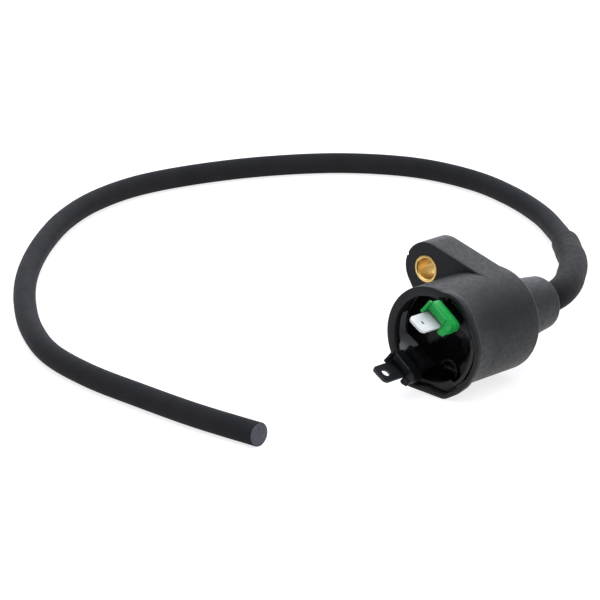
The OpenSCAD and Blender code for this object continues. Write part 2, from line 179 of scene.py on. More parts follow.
def ring_about(y, r, centre=(0, 0), count=AROUND):
    return [(centre[0] + r * math.cos(2 * math.pi * k / count), y,
             centre[1] + r * math.sin(2 * math.pi * k / count)) for k in range(count)]


def turned_tube(name, profile, centre, material, count=96):
    """A tube turned about a line along Y: profile is a closed loop of (y, r)."""
    rings = [ring_about(y, r, centre, count) for y, r in profile]
    points = [p for ring in rings for p in ring]
    last_ring = len(points) - count
    faces = skin(rings)
    faces += [(last_ring + k, last_ring + (k + 1) % count, (k + 1) % count, k) for k in range(count)]
    return outward(piece(name, points, faces, material))


def arc_steps(steps):
    """Angles of a quarter turn in equal steps."""
    return [math.pi / 2 * i / steps for i in range(steps + 1)]


# ---------------------------------------------------------------- materials

def wires(mat):
    """A material's empty node tree with one shader wired to its output."""
    mat.use_nodes = True
    tree = mat.node_tree
    tree.nodes.clear()
    out = tree.nodes.new("ShaderNodeOutputMaterial")
    shader = tree.nodes.new("ShaderNodeBsdfPrincipled")
    tree.links.new(shader.outputs[0], out.inputs[0])
    return tree, shader


def grain(tree, scale, detail=4.0, rough=0.55, stretch=None):
    """Noise over the object's own coordinates; scale is in features per mm."""
    coords = tree.nodes.new("ShaderNodeTexCoord")
    mapping = tree.nodes.new("ShaderNodeMapping")
    mapping.inputs["Scale"].default_value = [1000 * s for s in (stretch or (1, 1, 1))]
    tex = tree.nodes.new("ShaderNodeTexNoise")
    tex.inputs["Scale"].default_value = scale
    tex.inputs["Detail"].default_value = detail
    tex.inputs["Roughness"].default_value = rough
    tree.links.new(coords.outputs["Object"], mapping.inputs["Vector"])
    tree.links.new(mapping.outputs[0], tex.inputs["Vector"])
    return tex.outputs["Fac"]


def spread(tree, source, low, high, start=0.35, end=0.65):
    """A noise value stretched to run from low to high."""
    m = tree.nodes.new("ShaderNodeMapRange")
    m.inputs["From Min"].default_value = start
    m.inputs["From Max"].default_value = end
    m.inputs["To Min"].default_value = low
    m.inputs["To Max"].default_value = high
    tree.links.new(source, m.inputs["Value"])
    return m.outputs[0]


def two_tone(tree, source, dark, light):
    """A colour that runs from dark to light with a noise value."""
    ramp = tree.nodes.new("ShaderNodeValToRGB")
    ramp.color_ramp.elements[0].position = 0.3
    ramp.color_ramp.elements[0].color = (*dark, 1)
    ramp.color_ramp.elements[1].position = 0.7
    ramp.color_ramp.elements[1].color = (*light, 1)
    tree.links.new(source, ramp.inputs[0])
    return ramp.outputs[0]


def bumped(tree, shader, *layers):
    """Bump from (source, height in mm) layers."""
    below = None
    for source, height in layers:
        b = tree.nodes.new("ShaderNodeBump")
        b.inputs["Distance"].default_value = height * MM
        b.inputs["Strength"].default_value = 1.0
        tree.links.new(source, b.inputs["Height"])
        if below is not None:
            tree.links.new(below.outputs[0], b.inputs["Normal"])
        below = b
    tree.links.new(below.outputs[0], shader.inputs["Normal"])


def surface(name, dark, light, rough, metal=0.0, mottle=0.25, fine=(4.0, 0.01), broad=(0.4, 0.02),
            stretch=None, specular=0.5):
    """Mottled colour, uneven roughness and two scales of bump."""
    mat = bpy.data.materials.new(name)
    tree, shader = wires(mat)
    patches = grain(tree, mottle, 5.0, 0.6, stretch)
    tree.links.new(two_tone(tree, patches, dark, light), shader.inputs["Base Color"])
    tree.links.new(spread(tree, grain(tree, mottle * 3, 3.0, 0.5, stretch), *rough),
                   shader.inputs["Roughness"])
    shader.inputs["Metallic"].default_value = metal
    shader.inputs["Specular IOR Level"].default_value = specular
    bumped(tree, shader, (grain(tree, fine[0], 2.0, 0.5, stretch), fine[1]),
           (grain(tree, broad[0], 3.0, 0.5, stretch), broad[1]))
    return mat


def shade(level, tint=(1, 1, 1)):
    return tuple(level * t for t in tint)


# Tint of the body plastic
SLATE = (0.95, 1.0, 1.04)
body_mat = surface("moulded slate plastic", shade(0.011, SLATE), shade(0.015, SLATE), (0.40, 0.54),
                   fine=(6.0, 0.006), broad=(0.5, 0.008), specular=0.18)
resin_mat = surface("black potting resin", (0.0015, 0.0016, 0.002), (0.003, 0.0032, 0.004),
                    (0.08, 0.20), mottle=0.3, fine=(1.2, 0.01), broad=(0.25, 0.12), specular=0.12)
# A darker, glossier copy of the plastic, as painted shade on the inner wall where the bead is left out
shade_film_mat = surface("painted shade film on plastic", (0.003, 0.003, 0.0035), (0.006, 0.006, 0.007),
                   (0.15, 0.30), mottle=0.4, fine=(2.0, 0.01), broad=(0.5, 0.04), specular=0.3)
black_mat = surface("black moulded nylon", (0.0035, 0.0038, 0.0045), (0.006, 0.0065, 0.0075),
                    (0.32, 0.46), fine=(6.0, 0.006), broad=(0.8, 0.02), specular=0.22)
green_mat = surface("green moulded nylon", (0.006, 0.27, 0.043), (0.012, 0.33, 0.060),
                    (0.32, 0.44), fine=(5.0, 0.006), broad=(0.6, 0.02), specular=0.3)
tin_mat = surface("tinned brass blade", (0.46, 0.48, 0.48), (0.56, 0.58, 0.57), (0.35, 0.5),
                  metal=0.4, mottle=0.6, fine=(8.0, 0.004), broad=(1.0, 0.006))
# The ground blade's own blackened colour, also used as painted shade in the signal blade's dimple
dark_tab_and_dimple_shade_mat = surface("blackened blade and dimple shade", (0.010, 0.011, 0.013), (0.018, 0.020, 0.022),
                       (0.30, 0.45), metal=0.2, mottle=0.8, fine=(7.0, 0.006), broad=(1.0, 0.01),
                       specular=0.4)
brass_mat = surface("machined brass", (0.62, 0.41, 0.13), (0.74, 0.53, 0.21), (0.28, 0.40),
                    metal=1.0, mottle=0.5, fine=(6.0, 0.004), broad=(0.8, 0.006))
lead_mat = surface("black lead rubber", (0.018, 0.018, 0.020), (0.022, 0.022, 0.024), (0.42, 0.50),
                   mottle=0.12, fine=(3.0, 0.002), broad=(0.3, 0.003), specular=0.006)
sleeve_mat = surface("grey sleeve rubber", (0.012, 0.012, 0.013), (0.016, 0.016, 0.017),
                     (0.46, 0.56), mottle=0.15, fine=(3.0, 0.002), broad=(0.25, 0.005),
                     specular=0.010)
# A lighter copy of the body plastic: painted light on the inner wall and the ground rib, where light
# falls in through the mouth
lit_inner_plastic_mat = surface("painted light inner plastic", shade(0.15, SLATE), shade(0.19, SLATE), (0.45, 0.60),
                   fine=(6.0, 0.006), broad=(0.5, 0.012), specular=0.3)
cut_mat = surface("cut rubber", (0.030, 0.032, 0.042), (0.070, 0.072, 0.088), (0.6, 0.8),
                  mottle=0.9, fine=(3.0, 0.05), broad=(0.9, 0.08))
carbon_mat = surface("carbon fibre core", (0.02, 0.022, 0.03), (0.07, 0.075, 0.09), (0.4, 0.7),
                     mottle=2.0, fine=(7.0, 0.03), broad=(2.0, 0.05))
steel_mat = surface("core sheet steel", (0.38, 0.39, 0.41), (0.52, 0.53, 0.55), (0.3, 0.5),
                    metal=1.0, stretch=(1, 0.2, 1))
paper_mat = surface("insulating paper", (0.50, 0.40, 0.24), (0.62, 0.52, 0.34), (0.7, 0.9),
                    fine=(3.0, 0.03))
bobbin_mat = surface("bobbin nylon", (0.68, 0.65, 0.57), (0.78, 0.75, 0.68), (0.4, 0.6))
tape_mat = surface("insulating tape", (0.62, 0.46, 0.12), (0.76, 0.60, 0.20), (0.2, 0.35))
solder_mat = surface("solder", (0.62, 0.62, 0.63), (0.75, 0.75, 0.76), (0.2, 0.4), metal=1.0)


# Distance between a wave texture's crests at scale 1
WAVE_PERIOD = 0.314


def wound(name, pitch, dark, light):
    """Enamelled wire: fine turns as ridges along the coil."""
    mat = bpy.data.materials.new(name)
    tree, shader = wires(mat)
    coords = tree.nodes.new("ShaderNodeTexCoord")
    mapping = tree.nodes.new("ShaderNodeMapping")
    mapping.inputs["Scale"].default_value = (1000, 1000, 1000)
    turns = tree.nodes.new("ShaderNodeTexWave")
    turns.bands_direction = "Y"
    turns.inputs["Scale"].default_value = WAVE_PERIOD / pitch
    turns.inputs["Distortion"].default_value = 0.3
    tree.links.new(coords.outputs["Object"], mapping.inputs["Vector"])
    tree.links.new(mapping.outputs[0], turns.inputs["Vector"])
    tree.links.new(two_tone(tree, turns.outputs["Fac"], dark, light), shader.inputs["Base Color"])
    tree.links.new(spread(tree, grain(tree, 0.8), 0.2, 0.35), shader.inputs["Roughness"])
    shader.inputs["Metallic"].default_value = 0.9
    bumped(tree, shader, (turns.outputs["Fac"], pitch / 3))
    return mat


primary_mat = wound("primary copper wire", 0.5, (0.40, 0.14, 0.05), (0.72, 0.32, 0.14))
secondary_mat = wound("secondary copper wire", 0.12, (0.34, 0.10, 0.04), (0.60, 0.22, 0.09))

for node, mat in {"core_laminations": steel_mat, "core_paper": paper_mat,
                  "primary_bobbin": bobbin_mat, "primary_winding": primary_mat,
                  "primary_tape": tape_mat, "secondary_bobbin": bobbin_mat,
                  "secondary_winding": secondary_mat, "primary_start_wire": primary_mat,
                  "primary_end_wire": primary_mat, "secondary_ground_wire": secondary_mat,
                  "high_tension_wire": secondary_mat, "solder_joints": solder_mat,
                  "contact_plate": brass_mat, "contact_spike": brass_mat,
                  "lead_seal": sleeve_mat, "terminal_carrier": black_mat}.items():
    NODES[node].data.materials.clear()
    NODES[node].data.materials.append(mat)


# ---------------------------------------------------------------- housing

def lip_bulge(angle):
    """How far the lip's straight-sided outline stands out from the can at an angle in degrees."""
    angle = (angle + 180) % 360 - 180
    for (a0, h0), (a1, h1) in zip(LIP, LIP[1:]):
        if a0 <= angle <= a1:
            r0, r1 = CAN_R + h0, CAN_R + h1
            span, t0, t1 = math.radians(a1 - a0), math.radians(angle - a0), math.radians(a1 - angle)
            edge = r0 * r1 * math.sin(span) / (r0 * math.sin(t0) + r1 * math.sin(t1))
            return max(0.0, edge - CAN_R)
    return 0.0


BULGE = [sum(lip_bulge(360 * k / AROUND + d) for d in (-3, -1.5, 0, 1.5, 3)) / 5
         for k in range(AROUND)]


def can_ring(y, share=0.0, grow=0.0):
    """The can's outline with a share of the lip's height, grown all round."""
    out = []
    for k in range(AROUND):
        a, r = 2 * math.pi * k / AROUND, CAN_R + share * BULGE[k] + grow
        out.append((r * math.cos(a), y, r * math.sin(a)))
    return out


def eased(t):
    """A smooth step from 0 to 1 as t runs from 0 to 1."""
    t = max(0.0, min(1.0, t))
    return t * t * (3 - 2 * t)


def beaded(angle):
    """1 where the bead runs round the mouth, 0 where it is left out."""
    angle = (math.degrees(angle) + 180) % 360 - 180
    fade = 4
    return 1 - eased((angle - BEAD_GAP[0]) / fade) * eased((BEAD_GAP[1] - angle) / fade)


# Height above which the lip's inside follows the lip rather than the can's wall
FULL_LIP = 0.8


def mouth_ring(y, bead_r, lip_inset):
    """A ring inside the mouth: bead_r on the bead, or lip_inset in from the lip, where given."""
    out = []
    for k in range(AROUND):
        a = 2 * math.pi * k / AROUND
        lip = eased(BULGE[k] / FULL_LIP)
        r = CAVITY_R
        if bead_r:
            r += beaded(a) * (bead_r - CAVITY_R)
        if lip_inset:
            r = (1 - lip) * r + lip * (CAN_R + BULGE[k] - lip_inset)
        out.append((r * math.cos(a), y, r * math.sin(a)))
    return out


BACK_FILLET = 1.3
TOWER_FOOT = 0.8
END_ROUND = 1.1
# Distance along the tower at which its outline is given, and its share of the taper there
TOWER_MID = (44, 0.575)
# How much the tower's end stands out over its taper
TOWER_SWELL = 0.1
# Gap around the sleeve in its bore, and where the bore's drawn wall ends
SLEEVE_GAP = 0.1
BORE_END = 46

# The shell outside, from the rim to the back of the can and along the tower into its bore
outer = [can_ring(0.0, 1, -0.45), can_ring(0.06, 1, -0.22), can_ring(0.2, 1, -0.06),
         can_ring(0.45, 1), can_ring(1.9, 1), can_ring(2.15, 0.96), can_ring(2.5, 0.8),
         can_ring(3.4, 0.3), can_ring(3.8, 0.12), can_ring(4.3, 0.0)]
outer += [can_ring(y) for y in (12, 19, 25)]
for t in arc_steps(6):
    outer.append(can_ring(CAN_LEN - BACK_FILLET + BACK_FILLET * math.sin(t), 0,
                          -BACK_FILLET * (1 - math.cos(t))))
for t in arc_steps(5):
    outer.append(ring_about(CAN_LEN + TOWER_FOOT * (1 - math.cos(t)),
                            TOWER_R[0] + TOWER_FOOT * (1 - math.sin(t))))
outer.append(ring_about(TOWER_MID[0], TOWER_R[0] + (TOWER_R[1] - TOWER_R[0]) * TOWER_MID[1]))
for t in arc_steps(6):
    outer.append(ring_about(TOWER_END - END_ROUND + END_ROUND * math.sin(t),
                            TOWER_R[1] + TOWER_SWELL - END_ROUND * (1 - math.cos(t))))
outer += [ring_about(TOWER_END, SLEEVE_R + 0.5), ring_about(TOWER_END - 0.1, SLEEVE_R + 0.25),
          ring_about(TOWER_END - 0.4, SLEEVE_R + SLEEVE_GAP),
          ring_about(BORE_END, SLEEVE_R + SLEEVE_GAP)]
# The shell inside, from the rim over the bead and the lip's step to below the resin
inner = [mouth_ring(0.0, MOUTH_R + 0.25, LIP_WALL - 0.25),
         mouth_ring(0.08, MOUTH_R + 0.1, LIP_WALL - 0.1), mouth_ring(0.3, MOUTH_R, LIP_WALL),
         mouth_ring(1.9, MOUTH_R, LIP_WALL + 0.1), mouth_ring(2.3, MOUTH_R, LIP_WALL + 0.3),
         mouth_ring(2.35, MOUTH_R, LIP_WALL + 1.0), mouth_ring(1.35, MOUTH_R + 0.7, LIP_WALL + 1.1),
         mouth_ring(1.2, MOUTH_R + 0.5, 0), mouth_ring(1.2, MOUTH_R + 0.2, 0),
         mouth_ring(1.4, MOUTH_R, 0), mouth_ring(2.0, MOUTH_R, 0), mouth_ring(2.1, MOUTH_R + 0.1, 0),
         mouth_ring(2.2, CAVITY_R - 0.1, 0), mouth_ring(2.6, CAVITY_R, 0), mouth_ring(5, 0, 0),
         mouth_ring(RESIN_Y + 1, 0, 0)]
housing = lofted("can_shell", list(reversed(inner)) + outer, body_mat,
                 caps=(False, False))
housing.data.materials.append(shade_film_mat)
housing.data.materials.append(lit_inner_plastic_mat)
# Painted shade: a dark, glossy film covers the mouth's inside where the bead is left out, but for
# these rings at the rim; painted light: the deepest rings of the wall between the lit angles take a
# lighter copy of the plastic
RIM_STEPS = 4
WALL_STEPS = 3
for face in housing.data.polygons:
    step, k = divmod(face.index, AROUND)
    angle = (360 * k / AROUND + 180) % 360 - 180
    if step < len(inner) - RIM_STEPS and BEAD_GAP[0] < angle < BEAD_GAP[1]:
        face.material_index = 1
    elif step < WALL_STEPS and (angle > LIT_WALL_ANGLES[0] or angle < LIT_WALL_ANGLES[1] - 360):
        face.material_index = 2
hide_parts("housing")


EAR_EDGE = 0.5
# The step in the ear's round end: its depth, its angle at the can's side and its half width
EAR_NOTCH = 0.4
NOTCH_AT = 155
NOTCH_HALF = 3.5
# Depth to which the ear's foot is sunk into the can
EAR_SUNK = 1.1
# Gap around the bush in the ear
BUSH_GAP = 0.12


def ear_ring(y, inset, notch):
    """The ear's outline: a round end and two straight sides that run onto the can."""
    reach = math.hypot(*EAR_AT)
    lean = math.atan2(EAR_AT[1], EAR_AT[0])
    wide = math.acos((CAN_R - EAR_R) / reach)
    can_r, ear_r = CAN_R - inset, EAR_R - inset
    foot_steps, round_steps, side_steps, clear = 12, 60, 6, 0.02
    foot, end = [], []
    for i in range(foot_steps + 1):
        a = lean - wide + clear + i * (2 * wide - 2 * clear) / foot_steps
        foot.append(((CAN_R - EAR_SUNK) * math.cos(a), (CAN_R - EAR_SUNK) * math.sin(a)))
    for i in range(round_steps + 1):
        a = lean + wide - i * 2 * wide / round_steps
        r = ear_r - notch * math.exp(-((math.degrees(a) - NOTCH_AT) / NOTCH_HALF) ** 4)
        end.append((EAR_AT[0] + r * math.cos(a), EAR_AT[1] + r * math.sin(a)))
    top = (can_r * math.cos(lean + wide), can_r * math.sin(lean + wide))
    low = (can_r * math.cos(lean - wide), can_r * math.sin(lean - wide))
    up = [tuple(top[j] + (end[0][j] - top[j]) * i / side_steps for j in (0, 1))
          for i in range(side_steps)]
    down = [tuple(end[-1][j] + (low[j] - end[-1][j]) * i / side_steps for j in (0, 1))
            for i in range(1, side_steps + 1)]
    return [(x, y, z) for x, z in foot + up + end + down]


ear_rings = [ear_ring(EAR_Y[0] + EAR_EDGE * (1 - math.sin(t)), EAR_EDGE * (1 - math.cos(t)), EAR_NOTCH)
             for t in reversed(arc_steps(4))]
ear_rings += [ear_ring(22, 0, EAR_NOTCH), ear_ring(25.4, 0, EAR_NOTCH), ear_ring(25.6, 0, 0),
              ear_ring(28, 0, 0)]
ear_rings += [ear_ring(EAR_Y[1] - EAR_EDGE * (1 - math.sin(t)), EAR_EDGE * (1 - math.cos(t)), 0)
              for t in arc_steps(4)]


def ear_piece():
    """The ear's solid between its two faces, with the bush's hole through both."""
    points = [p for ring in ear_rings for p in ring]
    faces = skin(ear_rings)
    count = len(ear_rings[0])
    hole_n = 64
    for ring, y, first in ((ear_rings[0], EAR_Y[0], 0),
                           (ear_rings[-1], EAR_Y[1], len(points) - count)):
        base = len(points)
        hole = ring_about(y, BUSH_R + BUSH_GAP, EAR_AT, hole_n)
        points += hole
        flat = [[Vector((p[0], p[2], 0)) for p in ring], [Vector((p[0], p[2], 0)) for p in hole]]
        for tri in tessellate_polygon(flat):
            faces.append(tuple(first + i if i < count else base + i - count for i in tri))
    a, b = len(points) - 2 * hole_n, len(points) - hole_n
    faces += [(a + k, a + (k + 1) % hole_n, b + (k + 1) % hole_n, b + k) for k in range(hole_n)]
    return outward(piece("mounting_ear", points, faces, body_mat))


ear = ear_piece()
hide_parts("housing")

bush_profile = [(BUSH_Y[0] + 0.35, BUSH_R), (BUSH_Y[0] + 0.08, BUSH_R - 0.05),
                (BUSH_Y[0], BUSH_R - 0.2), (BUSH_Y[0], BUSH_BORE_R + 0.3),
                (BUSH_Y[0] + 0.3, BUSH_BORE_R), (BUSH_Y[1] - 0.3, BUSH_BORE_R),
                (BUSH_Y[1], BUSH_BORE_R + 0.3), (BUSH_Y[1], BUSH_R - 0.2),
                (BUSH_Y[1] - 0.08, BUSH_R - 0.05), (BUSH_Y[1] - 0.35, BUSH_R)]
bush = turned_tube("mounting_bush", bush_profile, EAR_AT, brass_mat)
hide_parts("mount_bush")


# ---------------------------------------------------------------- resin

# The resin's uneven top: height and fineness of its swells, and how it is drawn up at the wall
SWELL = 0.10
SWELLS_PER_MM = 0.25
WALL_RISE = 0.55
WALL_REACH = 0.5


def resin_piece():
    """The resin's top, uneven and drawn up at the wall, closed below."""
    points, faces = [(0, RESIN_Y, 0)], []
    steps = 40
    radii = [CAVITY_R * i / steps for i in range(1, steps + 1)]
    for r in radii:
        for k in range(AROUND):
            a = 2 * math.pi * k / AROUND
            x, z = r * math.cos(a), r * math.sin(a)
            swell = SWELL * noise.noise(Vector((x * SWELLS_PER_MM, z * SWELLS_PER_MM, 3.0)))
            rise = WALL_RISE * math.exp(-(CAVITY_R - r) / WALL_REACH)
            points.append((x, RESIN_Y + swell - rise, z))
    faces += [(0, 1 + k, 1 + (k + 1) % AROUND) for k in range(AROUND)]
    for i in range(len(radii) - 1):
        a0, b0 = 1 + i * AROUND, 1 + (i + 1) * AROUND
        faces += [(a0 + k, b0 + k, b0 + (k + 1) % AROUND, a0 + (k + 1) % AROUND)
                  for k in range(AROUND)]
    rim = 1 + (len(radii) - 1) * AROUND
    base = len(points)
    points += ring_about(CAN_LEN - 2, CAVITY_R)
    faces += [(rim + k, base + k, base + (k + 1) % AROUND, rim + (k + 1) % AROUND)
              for k in range(AROUND)]
    faces.append(tuple(range(base, base + AROUND)))
    return outward(piece("resin_fill", points, faces, resin_mat))


def seat_piece(side, name, edge, material):
    """A rib on the inner wall beside a terminal, with a front edge of the given radius."""
    rings, land, steps = [], 0.4, 8
    for y, inset in [(SEAT_Y + edge * (1 - math.sin(t)), edge * (1 - math.cos(t)))
                     for t in reversed(arc_steps(5))] + [(RESIN_Y + 1, 0.0)]:
        corner_w, corner_n = SEAT_W + inset * 0.5, SEAT_N + inset
        wall = CAVITY_R + land
        ring = []
        top = math.sqrt(wall ** 2 - corner_n ** 2)
        out = math.sqrt(wall ** 2 - corner_w ** 2)
        for i in range(steps + 1):
            ring.append((corner_w + land + (top - corner_w - land) * i / steps, corner_n))
        a0, a1 = math.atan2(corner_n, top), math.atan2(out, corner_w)
        for i in range(1, steps + 1):
            a = a0 + (a1 - a0) * i / steps
            ring.append((wall * math.cos(a), wall * math.sin(a)))
        for i in range(1, steps):
            ring.append((corner_w, out + (corner_n + land - out) * i / (steps - 1)))
        rings.append([tilted(side * w, y, side * n) for w, n in ring])
    rib = lofted(name, rings, material)
    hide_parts("housing")


seat_piece(1, "signal_seat_rib", 1.1, body_mat)
# The ground rib takes the lighter copy of the plastic as painted light; the signal rib keeps the body
# plastic
seat_piece(-1, "ground_seat_rib", 2.2, lit_inner_plastic_mat)
resin = resin_piece()
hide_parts("potting_resin")


# ---------------------------------------------------------------- terminals

# Depth behind the rim to which the blades are drawn
BLADE_ROOT = 9.0
LATCH_HOLE_R = 1.25
DIMPLE_R = 0.6
# A dimple's length over its width, its floor's height from the blade's middle and its size there
DIMPLE_SQUASH = 0.55
DIMPLE_FLOOR_N = 0.15
DIMPLE_FLOOR = 0.8


def blade_piece(side, name, material, hole_r, hole_through):
    """A spade blade with a coined tip and a latch hole or dimple."""
    half, tip = BLADE_W / 2, BLADE_TIP
    latch = tip + BLADE_LATCH
    outline = [(-half, BLADE_ROOT), (-half, tip + 1.3), (-half + 0.25, tip + 0.75),
               (-half + 0.9, tip + 0.15), (-half + 1.3, tip), (half - 1.3, tip),
               (half - 0.9, tip + 0.15), (half - 0.25, tip + 0.75), (half, tip + 1.3),
               (half, BLADE_ROOT)]
    hole_n = 28
    squash = 1.0 if hole_through else DIMPLE_SQUASH
    hole = [(hole_r * math.cos(2 * math.pi * k / hole_n),
             latch + squash * hole_r * math.sin(2 * math.pi * k / hole_n))
            for k in range(hole_n)]
    points, faces = [], []
    count = len(outline)
    tris = tessellate_polygon([[Vector((*p, 0)) for p in outline], [Vector((*p, 0)) for p in hole]])
    for n in (-BLADE_T / 2, BLADE_T / 2):
        first = len(points)
        points += [at_terminal(side, w, y, n) for w, y in outline + hole]
        faces += [tuple(first + i for i in tri) for tri in tris]
    total = count + hole_n
    faces += [(i, (i + 1) % count, total + (i + 1) % count, total + i) for i in range(count)]
    if hole_through:
        faces += [(count + k, count + (k + 1) % hole_n, total + count + (k + 1) % hole_n,
                   total + count + k) for k in range(hole_n)]
    else:
        for base, n in ((count, -DIMPLE_FLOOR_N), (total + count, DIMPLE_FLOOR_N)):
            floor = len(points)
            points += [at_terminal(side, w * DIMPLE_FLOOR, latch + (y - latch) * DIMPLE_FLOOR, n)
                       for w, y in hole]
            faces += [(base + k, base + (k + 1) % hole_n, floor + (k + 1) % hole_n, floor + k)
                      for k in range(hole_n)]
            faces.append(tuple(range(floor, floor + hole_n)))
    obj = outward(piece(name, points, faces, material, 30))
    # The dimple's walls and floors take the dark blade colour as painted shade
    if not hole_through:
        obj.data.materials.append(dark_tab_and_dimple_shade_mat)
        for face in obj.data.polygons[-2 * (hole_n + 1):]:
            face.material_index = 1
    return soften(obj, 0.14, 3, 50)


signal_blade = blade_piece(1, "signal_tab", tin_mat, DIMPLE_R, False)
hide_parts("signal_blade")
ground_blade = blade_piece(-1, "ground_tab", dark_tab_and_dimple_shade_mat, LATCH_HOLE_R, True)
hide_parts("ground_blade")


# Side views of a collar as (y, n), n counted from the middle of the blade: each runs along the
# top from the front to the back, then along the underside to the front again
CHEEK_TOP = [(-8.3, 0.1), (-8.2, 0.6), (-7.9, 1.7), (-7.5, 2.9), (-7.15, 3.75), (-6.85, 4.1),
             (-6.4, 4.05), (-5.8, 3.7), (-5.0, 3.15), (-4.1, 2.85), (-3.2, 2.9), (-2.3, 2.95),
             (-1.3, 2.75), (-0.6, 2.3)]
ROOF_TOP = [(-6.55, 1.25), (-6.57, 1.6), (-6.58, 2.1), (-6.57, 2.7), (-6.5, 3.3), (-6.3, 3.75),
            (-6.0, 3.9), (-5.6, 3.75), (-5.0, 3.25), (-4.1, 2.85), (-3.2, 2.9), (-2.3, 2.95),
            (-1.3, 2.75), (-0.6, 2.3)]
FOOT_TOP = [(-7.3, -1.3), (-7.15, -0.9), (-6.7, -0.55), (-6.25, 0.1), (-6.15, 1.3), (-6.15, 2.6),
            (-6.05, 3.3), (-5.85, 3.65), (-5.5, 3.6), (-5.0, 3.25), (-4.1, 2.85), (-3.2, 2.9),
            (-2.3, 2.95), (-0.6, 2.3)]
# The roof falls this much for each mm across it
ROOF_FALL = 0.08
UNDER_Y = [-0.6, -2.5, -4.0, -4.1, -6.0, -8.0]
FOOT_UNDER_Y = [-0.6, -2.5, -4.0, -4.1, -6.0, -7.1]
ROOF_UNDER = [(-0.6, 0.45), (-2.0, 0.45), (-2.4, 0.45), (-2.5, 1.7), (-5.0, 1.7), (-6.45, 1.65)]


def collar_piece(side, name, material):
    """A clip over the blade's root: a ridged roof between two cheeks, one with a rounded foot."""
    half = BLADE_W / 2 + 0.12

    def section(w, top, under_y, lower, shrink, drop):
        """A cheek's section at w: its underside, how far it is rounded in, and its top's drop."""
        ring = [(y + shrink * (0.6 if y < -4 else -0.3),
                 n - (shrink + drop + ROOF_FALL * (w + 4)) * (n > 0.7)) for y, n in top]
        ring += [(y + shrink * (0.6 if y < -4 else -0.3), lower + 0.35 * (y in (-0.6, under_y[-1])))
                 for y in under_y]
        return [at_terminal(side, w, y, n) for y, n in ring]

    def cheek(w, lower, shrink=0.0, drop=0.0):
        return section(w, CHEEK_TOP, UNDER_Y, lower, shrink, drop)

    def foot(w, lower, shrink=0.0, drop=0.0):
        return section(w, FOOT_TOP, FOOT_UNDER_Y, lower, shrink, drop)

    def roof(w):
        return [at_terminal(side, w, y, n - ROOF_FALL * (w + 4) * (n > 1.3))
                for y, n in ROOF_TOP + ROOF_UNDER]

    rings = [cheek(-4.3, -0.3, 0.45, 0.35), cheek(-4.15, -0.45, 0.15, 0.1), cheek(-3.7, -0.45),
             cheek(-half, -0.45), roof(-half + 0.02), roof(-1), roof(1), roof(half - 0.02),
             foot(half, -1.5), foot(3.6, -2.0), foot(4.3, -2.1, 0, 0.05),
             foot(4.8, -1.9, 0.05, 0.1), foot(5.15, -1.6, 0.15, 0.2), foot(5.45, -1.3, 0.3, 0.4),
             foot(5.6, -1.1, 0.45, 0.8)]
    obj = lofted(name, rings, material, crease=50)
    return soften(obj, 0.16, 3, 40)


signal_collar = collar_piece(1, "signal_clip", green_mat)
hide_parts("signal_collar")
ground_collar = collar_piece(-1, "ground_clip", black_mat)
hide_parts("ground_collar")

NODES["resin_wire_loop"].data.materials.clear()
NODES["resin_wire_loop"].data.materials.append(black_mat)


# ---------------------------------------------------------------- lead

def on_route(t):
    """A point on the smooth curve through the route; t counts route points."""
    last = len(ROUTE) - 1
    i = min(int(t), last - 1)
    u = t - i
    a, b, c, d = (Vector(ROUTE[max(0, min(last, j))]) for j in (i - 1, i, i + 1, i + 2))
    start = Vector((0, TOWER_END - LEAD_SEAT, 0))
    return start + 0.5 * (2 * b + (c - a) * u + (2 * a - 5 * b + 4 * c - d) * u * u
                          + (3 * b - a - 3 * c + d) * u ** 3)


def sweep(path, radii, sides):
    """Rings square to a path, one at each of its points."""
    rings = []
    for i, p in enumerate(path):
        along = (path[min(i + 1, len(path) - 1)] - path[max(i - 1, 0)]).normalized()
        side = along.cross(Vector((0, 0, 1))).normalized()
        up = side.cross(along)
        rings.append([tuple(p + radii[i] * (math.cos(2 * math.pi * k / sides) * side
                                            + math.sin(2 * math.pi * k / sides) * up))
                      for k in range(sides)])
    return rings


# Rings between two points of the route
STEPS = 8
# Rounding of the lead's cut edge
CUT_EDGE = 0.18
lead_line = [on_route(i / STEPS) for i in range((len(ROUTE) - 1) * STEPS + 1)]
end_dir = (lead_line[-1] - lead_line[-2]).normalized()
lead_line = lead_line[:-1] + [lead_line[-1] - end_dir * CUT_EDGE, lead_line[-1]]
lead_radii = [LEAD_R] * (len(lead_line) - 1) + [LEAD_R - CUT_EDGE]
lead = lofted("high_tension_lead", sweep(lead_line, lead_radii, 40), lead_mat,
              caps=(True, False))
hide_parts("lead_jacket", "lead_core")

sleeve_line = [on_route(SLEEVE_SPAN[0] + i / STEPS)
               for i in range(int((SLEEVE_SPAN[1] - SLEEVE_SPAN[0]) * STEPS) + 1)]
sleeve_dir = (sleeve_line[-1] - sleeve_line[-2]).normalized()
sleeve_line += [sleeve_line[-1] + sleeve_dir * 0.25, sleeve_line[-1] + sleeve_dir * 0.3]
sleeve_radii = [SLEEVE_R] * (len(sleeve_line) - 2) + [SLEEVE_R - 0.12, LEAD_R + 0.02]
sleeve = lofted("lead_boot", sweep(sleeve_line, sleeve_radii, 48), sleeve_mat)
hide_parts("lead_sleeve")


